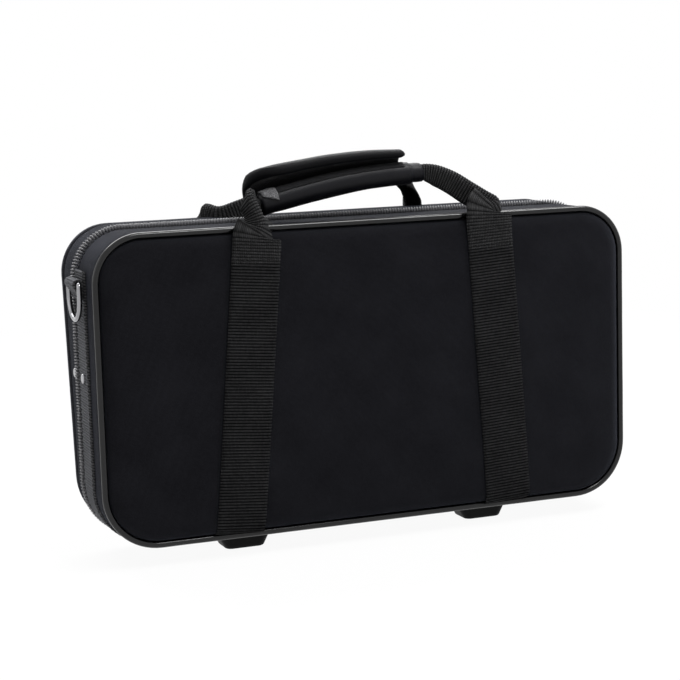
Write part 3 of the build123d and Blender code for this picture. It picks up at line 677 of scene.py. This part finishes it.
over = [(-81.2, 47.9, 207.5, -1, 0, 4, 32), (-83.2, 47.7, 212, -1, -0.1, 8, 32),
        (-84.6, 46.0, 217.0, -1, -0.2, 50, 32), (-84.8, 41.4, 220.4, -1, -0.3, 79, 32),
        (-83.6, 35.6, 220.8, -0.9, -0.5, 83, 30), (-78.6, 28.6, 219.4, -0.6, -0.8, 82, 27),
        (-68.0, 23.6, 223.0, -0.25, -1, 84, 25), (-50, 21.4, 228.4, 0, -1, 86, 24),
        (-9, 20.8, 235.6, 0, -1, 86, 23), (36, 21.2, 239.4, 0.05, -1, 86, 23),
        (50, 24.5, 239.0, 0.5, -0.9, 85, 24), (57.6, 31.5, 235.4, 0.9, -0.45, 81, 26),
        (61.0, 37.6, 229.4, 1, -0.2, 76, 28), (62.4, 42.2, 222.4, 1, 0, 73, 30),
        (63.2, 45.2, 216.2, 1, 0, 72, 32), (64.2, 46.8, 211.6, 1, 0, 66, 32),
        (66.4, 47.6, 207.2, 1, 0, 36, 32)]
up_left, up_right = up_back(-1, (-1, 0, 0)), up_back(1, (1, 0, 0))
back_webbing = ribbon("back_webbing", webbing, up_left + in_metres(over) + up_right[::-1])
dress_above(back_webbing)
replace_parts(back_webbing, "back_strap_left", "back_strap_right", "back_loop")
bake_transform(back_webbing)

# ---- Grip ----
# The two legs meet inside a padded sleeve of smooth cloth, slit along its top. A strip of
# loop tape runs in front of the slit, and a thick flap stands behind to fold over both.
grip_middle = Vector((-12 * mm, -16.25 * mm, 232 * mm))
grip_tilt = radians(8.374)
grip_along = Vector((cos(grip_tilt), 0, sin(grip_tilt)))
grip_up = Vector((-sin(grip_tilt), 0, cos(grip_tilt)))
grip_back = Vector((0, 1, 0))


def on_grip(along, back, up):
    """A place on the grip, whose middle bows upwards a little."""
    bow = 3.2 * mm * (1 - (along / (52 * mm)) ** 2) - 1.2 * mm
    return grip_middle + grip_along * along + grip_back * back + grip_up * (up + bow)


satin = woven_cloth("Grip cloth", (0.002, 0.002, 0.0028), (0.008, 0.008, 0.011),
                    0.32 * mm, 0.32 * mm, 0.04 * mm, 0.4, sheen=0.02, shine=0.16)
wrap_outer, wrap_inner = 7.6 * mm, 4.9 * mm
stops = [(-55.0, 0.80), (-54.4, 0.93), (-53, 0.99), (-48, 1.0), (-34, 1.01), (-18, 1.0), (0, 1.015),
         (20, 1.0), (36, 1.01), (48.6, 1.0), (50.8, 0.985), (51.4, 0.91), (52.4, 0.86), (57, 0.86),
         (59.4, 0.84), (60.2, 0.74)]
opening = radians(12)
rings = []
for along, grow in stops:
    ring = []
    for k in range(29):
        a = pi / 2 + opening + (2 * pi - 2 * opening) * k / 28
        r = wrap_outer * grow * (1 + 0.02 * noise.noise(Vector((along * 0.09, a * 1.3, 2))))
        ring.append(on_grip(along * mm, r * cos(a), r * sin(a)))
    for k in range(29):
        a = pi / 2 - opening - (2 * pi - 2 * opening) * k / 28
        ring.append(on_grip(along * mm, wrap_inner * cos(a), wrap_inner * sin(a)))
    rings.append(ring)
round_grip = [wrap_outer * 5 * k / 58 for k in range(59)]
sleeve = skin("grip_sleeve", satin, rings, lambda i, j: (stops[i][0] * mm, round_grip[j]))
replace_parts(sleeve, "grip_wrap")
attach(sleeve, "front_handle")


def fuzzy(name, dark, light):
    """Short loops of nylon pile."""
    made, tree, shader = finish(name, dark, 0.95, shine=0.1, sheen_weight=0.1, sheen_roughness=0.5)
    loops = texture(tree, "Voronoi", spot(tree), 1300.0).outputs["Distance"]
    tinted(tree, shader, loops, dark, light)
    relief(tree, shader, loops, 0.45 * mm)
    return made


fuzz = fuzzy("Loop tape", (0.0015, 0.0015, 0.002), (0.022, 0.022, 0.024))
# A much lighter copy of the same loop tape: painted light for the patch at the strip's left end, where the
# flap's shadow does not fall.
lit_fuzz = fuzzy("Loop tape painted lit", (0.006, 0.006, 0.007), (0.26, 0.26, 0.27))


def on_sleeve(name, first, last, low, high, thick, material):
    """A curved patch on the sleeve. low and high are angles above its front, at its two ends."""
    parts = int((last - first) / 1.5)
    steps = [first + (last - first) * k / parts for k in range(parts + 1)]
    rings = []
    for along in steps:
        t = (along - first) / (last - first)
        from_angle, to_angle = low[0] + (low[1] - low[0]) * t, high[0] + (high[1] - high[0]) * t
        outer, inner = [], []
        for k in range(13):
            a = pi - radians(from_angle + (to_angle - from_angle) * k / 12)
            r = (7.7 + thick) * mm + 0.3 * mm * noise.noise(Vector((along * 0.9, k * 0.8, 5)))
            outer.append(on_grip(along * mm, r * cos(a), r * sin(a)))
            inner.append(on_grip(along * mm, 7.5 * mm * cos(a), 7.5 * mm * sin(a)))
        rings.append(outer + inner[::-1])
    patch = skin(name, material, rings, lambda i, j: (steps[i] * mm, j * 0.7 * mm))
    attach(patch, "front_handle")
    return patch


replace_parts(on_sleeve("loop_strip", -43.5, 47, (38, 38), (76, 76), 0.5, fuzz), "grip_loop_tape")
# Painted light: this patch at the strip's left end is the same loop tape, coloured far lighter as if lit
# where the flap's shadow does not reach.
on_sleeve("lit_loop_patch", -53.5, -43.7, (40, 2), (112, 76), 1.0, lit_fuzz)

flap_line = [Vector(p) for p in ((10.5, -0.6), (10.9, 4), (10.2, 10), (7.0, 15), (2.0, 18), (-3.6, 18.8),
                                 (-8.8, 16.8))]
flap_run = running_length(flap_line)


def flap_at(share):
    """Point and direction of the flap's middle at a share of its width from the seam."""
    d = share * flap_run[-1]
    k = max(n for n in range(len(flap_line) - 1) if flap_run[n] <= d)
    t = (d - flap_run[k]) / (flap_run[k + 1] - flap_run[k])
    near = [flap_line[max(0, min(len(flap_line) - 1, k + m))] for m in (-1, 0, 1, 2)]
    here, ahead = eased(*near, t), eased(*near, min(1.0, t + 0.05))
    way = ahead - here if (ahead - here).length > 1e-6 else near[2] - near[1]
    return here, way.normalized()


flap_left, flap_right = -61.5, 49.5
flap_stops = [flap_left + d for d in (0.1, 0.3, 0.9, 1.9, 3.3, 5.3, 8, 11, 15, 19, 23)]
flap_stops += [flap_left + 27 + 4 * k for k in range(19)]
flap_stops += [flap_right - d for d in (7, 5, 3.4, 2.2, 1.2, 0.5, 0.1)]
rings = []
for along in flap_stops:
    left_corner = max(0.0, min(1.0, (along - flap_left) / 30))
    right_corner = max(0.0, min(1.0, (flap_right - along) / 7))
    reach = 0.3 + 0.7 * (1 - (1 - left_corner) ** 2) ** 0.5
    reach = min(reach, 0.8 + 0.2 * (1 - (1 - right_corner) ** 2) ** 0.5)
    pinch = min(1.0, ((along - flap_left) / 3.2) ** 0.5, ((flap_right - along) / 3.2) ** 0.5)
    rise = 0.96 - 0.003 * (along + 34)
    outer, inner = [], []
    for k in range(17):
        here, way = flap_at(reach * k / 16)
        away = Vector((way.y, -way.x))
        swell = (2.2 + 2.6 * (k / 16) ** 1.5) * pinch
        edge = 1.0 if k < 14 else (1 - ((k - 13) / 3) ** 2 * 0.94) ** 0.5
        ripple = 0.25 * noise.noise(Vector((along * 0.07, k * 0.35, 9)))
        swell = swell * edge + ripple * edge * pinch
        top_point, low_point = here + away * swell, here - away * swell * 0.85
        outer.append(on_grip(along * mm, top_point.x * mm, top_point.y * rise * mm))
        inner.append(on_grip(along * mm, low_point.x * mm, low_point.y * rise * mm))
    rings.append(outer + inner[::-1])
flap_cloth = woven_cloth("Flap cloth", (0.0008, 0.0008, 0.001), (0.0045, 0.0045, 0.0055),
                         0.32 * mm, 0.32 * mm, 0.04 * mm, 0.5, sheen=0.02, shine=0.07)
flap = skin("grip_flap_pad", flap_cloth, rings, lambda i, j: (flap_stops[i] * mm, j * 1.6 * mm))
flap.data.materials.append(fuzz)
columns_outside, columns = 17, 34
for face in flap.data.polygons:
    on = [v % columns for v in face.vertices]
    if min(on) >= columns_outside + 4 and max(on) <= columns - 2 and len(on) == 4:
        face.material_index = 1
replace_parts(flap, "grip_flap")
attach(flap, "flap")

# ---- End bands and ring tabs ----
# 25 mm webbing is sewn down each end and round under the case. Near its top a short
# piece of the same webbing is folded over the ring's straight bar and sewn down.
band_x, band_y, band_width, turn_radius = 184.9 * mm, -11.75 * mm, 25 * mm, 36.9 * mm
turn_z = bottom + corner_bottom
narrow_webbing = woven_cloth("Narrow webbing", (0.0015, 0.0015, 0.0018), (0.085, 0.085, 0.088),
                             1.1 * mm, 1.8 * mm, 0.35 * mm, 0.5, sheen=0.1, shine=0.06, ribbing=0.6)


def round_corner(radius, parts):
    """Points (x, z) on a quarter turn about the lower corner's centre, from the end downwards."""
    turns = [pi / 2 * k / parts for k in range(parts + 1)]
    return [(lower_seam + radius * cos(a), turn_z - radius * sin(a)) for a in turns]


down_end = [(band_x, z * mm) for z in (188, 172, 150, 120, 90, 66, 52)]
band_way = down_end + round_corner(turn_radius, 6) + [(140 * mm, 12.1 * mm), (131.5 * mm, 12.1 * mm)]
tab_way = [(186.4, 170.6), (186.4, 173), (186.4, 176.5), (186.45, 179.2), (186.71, 181.35),
           (188.13, 182.54), (189.97, 182.54), (191.39, 181.35), (191.71, 179.53), (191.26, 178.45),
           (190.2, 176.6), (188.8, 175), (187.95, 173.3), (187.85, 170.6)]
for side, word in ((-1, "left"), (1, "right")):
    across = (0, -side, 0)
    band = ribbon("end_band_webbing_" + word, narrow_webbing,
                  [((side * x, band_y, z), across, 0, band_width) for x, z in band_way],
                  rib=0.24 * mm, pitch=1.8 * mm, cells=10)
    tab = ribbon("ring_tab_" + word, narrow_webbing,
                 [((side * x * mm, band_y, z * mm), across, 0, 23.5 * mm) for x, z in tab_way],
                 thick=1.4 * mm, rib=0.12 * mm, pitch=1.8 * mm, cells=10)
    for piece, node in ((band, "end_band_" + word), (tab, "dring_tab_" + word)):
        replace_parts(piece, node)
        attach(piece, "base")

# ---- Rings, rivets and sliders ----
# The rings are bent steel wire, butted at the bar and nickel plated, as are the rivets.
# Sliders and pulls are cast zinc with a black finish, which the feet's screws share.
def plated(name, colour, roughness, scratch):
    """Metal with fine scratches and a cloudy finish."""
    made, tree, shader = finish(name, colour, roughness, metallic=1.0)
    place = spot(tree)
    stretch = tree.nodes.new("ShaderNodeMapping")
    stretch.inputs["Scale"].default_value = (1, 1, 0.12)
    tree.links.new(place, stretch.inputs[0])
    hairlines = cloud(tree, stretch.outputs[0], 2600.0, 2.0)
    dull = cloud(tree, place, 160.0, 4.0)
    uneven = maths(tree, "MULTIPLY_ADD", dull, 0.22, roughness - 0.06)
    tree.links.new(uneven, shader.inputs["Roughness"])
    tinted(tree, shader, dull, tuple(c * 0.82 for c in colour), colour)
    relief(tree, shader, hairlines, scratch)
    return made


nickel = plated("Nickel plate", (0.34, 0.34, 0.355), 0.14, 0.008 * mm)
black_zinc = plated("Black zinc", (0.05, 0.05, 0.053), 0.32, 0.02 * mm)
dress(["dring_left", "dring_right", "base_rivets", "lid_rivets"], nickel)
dress(["slider_upper", "slider_lower", "pull_upper", "pull_lower", "foot_screws"], black_zinc)

# ---- Feet ----
# Two moulded rubber blocks with sloping ends, screwed up into the bottom of the base.
# The mould leaves a fine matt grain, and their black is a little uneven.
rubber, tree, shader = finish("Moulded rubber", (0.0022, 0.0022, 0.0026), 0.55, shine=0.12)
place = spot(tree)
relief(tree, shader, texture(tree, "Voronoi", place, 1500.0).outputs["Distance"], 0.06 * mm, 0.8)
tinted(tree, shader, cloud(tree, place, 120.0, 6.0), (0.0016, 0.0016, 0.0019), (0.0065, 0.0064, 0.0066))
dress(["foot_left", "foot_right"], rubber)

# ---- Hinge cloth ----
# The lid has no metal hinge: a strip of strong cloth is glued and sewn across the
# joint underneath, between the two ends of the zipper, and bends there.
hinge_cloth = woven_cloth("Hinge cloth", (0.005, 0.005, 0.006), (0.022, 0.022, 0.026),
                          0.6 * mm, 0.6 * mm, 0.15 * mm, 0.75)
hinge_length, hinge_width, hinge_z = 255.7 * mm, 20 * mm, 12 * mm
hinge_way = [((0, y * mm, hinge_z), (1, 0, 0), 0, hinge_length) for y in (-1.25, 3, 6.75, 10.5, 14, 18.75)]
hinge = ribbon("hinge_tape", hinge_cloth, hinge_way, thick=0.7 * mm, rib=0.02 * mm, pitch=1.2 * mm, cells=40)
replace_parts(hinge, "hinge_cloth")
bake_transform(hinge)

# ---- Lid stays ----
# A ribbon inside each end, riveted to the base and the lid, stops the lid when it is open.
# With the case closed it runs straight across, in a recess beside the filling.
stay_x, stay_z, stay_width = 178.4 * mm, 119 * mm, 20 * mm
for side, word in ((-1, "left"), (1, "right")):
    stations = [((side * stay_x, y * mm, stay_z), (0, 0, 1), 0, stay_width)
                for y in (-17.25, -11.25, -6, 0, 6, 11, 15.75, 21.75)]
    stay = ribbon("stay_ribbon_" + word, narrow_webbing, stations,
                  thick=0.8 * mm, rib=0.06 * mm, pitch=1.4 * mm, cells=8)
    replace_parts(stay, "lid_stay_" + word)
    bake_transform(stay)

# ---- Tray ----
# Moulded foam under one piece of short plush, which is pressed down into six pockets for
# the two joints, barrel, bell, mouthpiece and accessories. Their edges are left soft.
tray_reach, tray_low, tray_high, tray_y, tray_back = 178.85, 18.15, 205.85, 5.75, -37.2
round_low, round_high, round_from = 30.85, 25.85, 140
pocket_depth, pocket_round = 35, 7
pockets = [(-166, 84, 31, 77), (96, 166, 31, 73), (-166, 40, 89, 135), (52, 166, 89, 191),
           (-166, -70, 147, 191), (-58, 40, 147, 191)]


def pressed_in(x, z):
    """How far the plush is pressed in at a place on the tray, all in millimetres."""
    deepest = 0.0
    for left, right, low, high in pockets:
        across = abs(x - (left + right) / 2) - (right - left) / 2 + pocket_round
        up = abs(z - (low + high) / 2) - (high - low) / 2 + pocket_round
        outside = hypot(max(across, 0), max(up, 0)) + min(max(across, up), 0) - pocket_round
        t = min(1.0, max(0.0, (2.0 - outside) / 4.2))
        deepest = max(deepest, pocket_depth * t * t * (3 - 2 * t))
    return deepest


def tray_half(z):
    """Half the tray's length at height z, with rounded corners and room for the stays."""
    half = tray_reach
    for radius, past in ((round_low, tray_low + round_low - z), (round_high, z - tray_high + round_high)):
        if past > 0:
            half = tray_reach - radius + max(0.0, radius ** 2 - past ** 2) ** 0.5
    return half - (2.9 if abs(z - 119) < 12 else 0)


def grid_lines(first, last, edges):
    """Places to cut a grid: close together at the pockets' edges and wide apart between."""
    lines = {first, last}
    for e in edges:
        lines.update(e + d for d in (-3, -2, -1.2, -0.5, 0.2, 0.9, 1.6, 2.4, 3.4))
    marks = sorted(v for v in lines if first <= v <= last)
    out = [marks[0]]
    for v in marks[1:]:
        parts = max(1, round((v - out[-1]) / 3.5))
        start = out[-1]
        if v - start > 0.25:
            out += [start + (v - start) * k / parts for k in range(1, parts + 1)]
    return out


columns = grid_lines(-tray_reach, tray_reach, {e for p in pockets for e in p[:2]})
rows = grid_lines(tray_low, tray_high, {e for p in pockets for e in p[2:]} | {107, 131})
points, faces = [], []
for z in rows:
    for x in columns:
        shift = max(0.0, abs(x) - round_from) / (tray_reach - round_from)
        x = (1 if x > 0 else -1) * (min(abs(x), round_from) + shift * (tray_half(z) - round_from))
        at_edge = min(tray_reach - abs(x), z - tray_low, tray_high - z) < 0.01
        ruffle = 0.3 * noise.noise(Vector((x * 0.12, 3, z * 0.12)))
        y = tray_y - pressed_in(x, z) - (1.4 if at_edge else 0) + ruffle
        points.append((x * mm, y * mm, z * mm))
wide, high = len(columns), len(rows)
for i in range(high - 1):
    for j in range(wide - 1):
        a = i * wide + j
        faces.append((a, a + 1, a + wide + 1, a + wide))
around = list(range(wide)) + [i * wide + wide - 1 for i in range(1, high)]
around += [(high - 1) * wide + j for j in range(wide - 2, -1, -1)]
around += [i * wide for i in range(high - 2, 0, -1)]
behind = {a: len(points) + k for k, a in enumerate(around)}
points += [(points[a][0], tray_back * mm, points[a][2]) for a in around]
faces += [(a, behind[a], behind[b], b) for a, b in zip(around, around[1:] + around[:1])]
faces.append([behind[a] for a in around])
plush, tree, shader = finish("Short plush", (0.02, 0.02, 0.024), 0.95, sheen_weight=0.7, sheen_roughness=0.4)
place = spot(tree)
pile = cloud(tree, place, 1700.0, 2.0)
brushed = maths(tree, "ADD", cloud(tree, place, 28.0), 0.4)
tinted(tree, shader, maths(tree, "MULTIPLY", pile, brushed), (0.008, 0.008, 0.01), (0.06, 0.06, 0.07))
relief(tree, shader, pile, 0.5 * mm)
tray = solid("plush_tray", plush, points, faces)
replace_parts(tray, "foam_tray", "tray_lining")
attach(tray, "base")

# ---- Lid lining ----
# A sheet of foam wrapped in the same plush is glued over the lid's board. It swells a
# little between its edges, and each end is cut back beside the stay.
stay_recess = 175.9 * mm
rings = []
for inset, offset in [(6.6, -6.1), (6.3, -7.2), (6.3, -9.6), (7.0, -11.0), (9.0, -11.9), (13, -12.2),
                      (20, -12.4), (32, -12.5), (48, -12.5), (66, -12.4), (80, -12.4)]:
    ring = []
    for x, z in rim(inset * mm):
        if abs(z - stay_z) < 12 * mm:
            x = max(-stay_recess, min(stay_recess, x))
        swell = 0.35 * mm * noise.noise(Vector((x * 20, 6, z * 20))) if offset < -11 else 0
        ring.append((x, back_y(z, offset * mm + swell), z))
    rings.append(ring)
lining = skin("lid_plush_pad", plush, rings, lambda i, j: rings[i][j % len(rings[i])][::2])
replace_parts(lining, "lid_pad", "lid_lining")
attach(lining, "lid")

# ---- Stitching ----
# Black bonded thread, drawn into the cloth so that only the top of each stitch shows: lines
# along the zipper's hems, boxes on the straps, and rows on bands, tabs and lower seams.
thread, tree, shader = finish("Sewing thread", (0.004, 0.004, 0.0045), 0.5, shine=0.12, sheen_weight=0.05)
twist = cloud(tree, spot(tree), 2400.0, 1.0)
tinted(tree, shader, twist, (0.0008, 0.0008, 0.001), (0.008, 0.008, 0.009))
relief(tree, shader, twist, 0.05 * mm)
stitch_tree = instances_tree("Stitches", 6, 5)
stitch = {"Pitch": 3 * mm, "Across": 0.6 * mm, "Along": 2.4 * mm, "Height": 0.5 * mm}


def box_stitch(at, low, high, half):
    """A sewn box. at turns (sideways, height) into a point."""
    corners = [at(*p) for p in ((-half, low), (half, low), (half, high), (-half, high))]
    return [[a, b] for a, b in zip(corners, corners[1:] + corners[:1])]


hem_inset, strap_face, band_half = 0.85 * mm, -49.05 * mm, 0.85 * mm
lines = {"base": [[(x, -1.0 * mm, z) for x, z in open_rim(hem_inset)]],
         "lid": [[(x, 14.6 * mm, z) for x, z in open_rim(hem_inset)]]}
for side in (-1, 1):
    lines["base"] += box_stitch(lambda s, z: (strap_x(side, z) + s, strap_face, z),
                                190.8 * mm, 202 * mm, 14.3 * mm)
    lines["lid"] += box_stitch(lambda s, z: on_back(side * back_strap_x + s, z, 4.75 * mm),
                               160 * mm, 178 * mm, 13 * mm)
    for edge in (-10.6 * mm, 10.6 * mm):
        way = [(x + band_half, z) for x, z in down_end] + round_corner(turn_radius + band_half, 12)
        way.append((132.5 * mm, 11.25 * mm))
        lines["base"].append([(side * x, band_y + edge, z) for x, z in way])
    for z, x in ((172.0, 188.62), (174.0, 188.95), (186.6, 185.75)):
        lines["base"].append([(side * x * mm, band_y + y * mm, z * mm) for y in (-10, 10)])
    lines["base"].append([(side * 146 * mm, y * mm, 12.35 * mm) for y in (-37, -24.5)])
for body in ("base", "lid"):
    seams = repeated(body + "_stitching", lines[body], stitch_tree, stitch, thread)
    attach(seams, body)

# ---- Floor, light and camera ----
# A pale floor that fades into white, lit by soft boxes and seen from the photograph's viewpoint.
bpy.ops.mesh.primitive_plane_add(size=8)
floor = bpy.context.object
floor.name = "studio_floor"
paper, tree, shader = finish("Studio paper", (0.92, 0.92, 0.92), 0.9)


def seen_directly(tree):
    """1 for camera, glossy and transmission rays, and 0 for those that only carry light."""
    rays = tree.nodes.new("ShaderNodeLightPath").outputs
    mirrored = maths(tree, "MAXIMUM", rays["Is Glossy Ray"], rays["Is Transmission Ray"])
    return maths(tree, "MAXIMUM", rays["Is Camera Ray"], mirrored)


def mixed_surface(tree, share, first, second, output):
    """Ends a tree in a mix of two shaders."""
    blend = tree.nodes.new("ShaderNodeMixShader")
    linked(tree, (share, blend.inputs[0]), (first.outputs[0], blend.inputs[1]),
           (second.outputs[0], blend.inputs[2]), (blend.outputs[0], tree.nodes[output].inputs["Surface"]))


glow = tree.nodes.new("ShaderNodeEmission")
glow.inputs["Color"].default_value = (1, 1, 1, 1)
away, share = tree.nodes.new("ShaderNodeVectorMath"), tree.nodes.new("ShaderNodeMapRange")
away.operation = "LENGTH"
for label, value in (("From Min", 0.25), ("From Max", 1.1), ("To Min", 0.94)):
    share.inputs[label].default_value = value
linked(tree, (spot(tree), away.inputs[0]), (away.outputs["Value"], share.inputs["Value"]))
glowing = maths(tree, "MULTIPLY", seen_directly(tree), share.outputs["Result"])
mixed_surface(tree, glowing, shader, glow, "Material Output")
floor.data.materials.append(paper)

world = bpy.data.worlds.new("Studio")
bpy.context.scene.world = world
world.use_nodes = True
tree = world.node_tree
sky, bright = tree.nodes["Background"], tree.nodes.new("ShaderNodeBackground")
for light, strength in ((sky, 0.24), (bright, 1.0)):
    light.inputs["Color"].default_value = (1, 1, 1, 1)
    light.inputs["Strength"].default_value = strength
mixed_surface(tree, seen_directly(tree), sky, bright, "World Output")


def soft_box(name, place, target, size, watts):
    """An area lamp at place that faces target."""
    lamp = bpy.data.lights.new(name, "AREA")
    lamp.shape = "RECTANGLE"
    lamp.size, lamp.size_y = size
    lamp.energy = watts
    stand = in_scene(name, lamp)
    stand.location = place
    stand.rotation_euler = (Vector(target) - Vector(place)).to_track_quat("-Z", "Y").to_euler()


soft_box("overhead", (0.0, 1.0, 1.35), (0, 0, 0.15), (1.8, 0.9), 34)
soft_box("front_top", (0.4, -0.36, 1.2), (0.1, -0.04, 0.2), (1.2, 0.24), 17)
soft_box("left_fill", (-1.6, 0.1, 0.7), (0, 0, 0.12), (0.9, 1.0), 2)

camera_data = bpy.data.cameras.new("viewpoint")
camera_data.lens = 97.29
camera_data.sensor_width = 36
camera_data.clip_start = 0.05
camera = in_scene("viewpoint", camera_data)
right_of = Vector((0.92977, -0.36702, -0.02898))
up_of = Vector((0.07953, 0.12335, 0.98917))
ahead_of = Vector((0.35947, 0.922, -0.14387))
turned = Matrix((right_of, up_of, -ahead_of)).transposed().to_4x4()
camera.matrix_world = Matrix.Translation((-0.45022, -1.13716, 0.30542)) @ turned
bpy.context.scene.camera = camera
bpy.context.scene.view_settings.view_transform = "Standard"
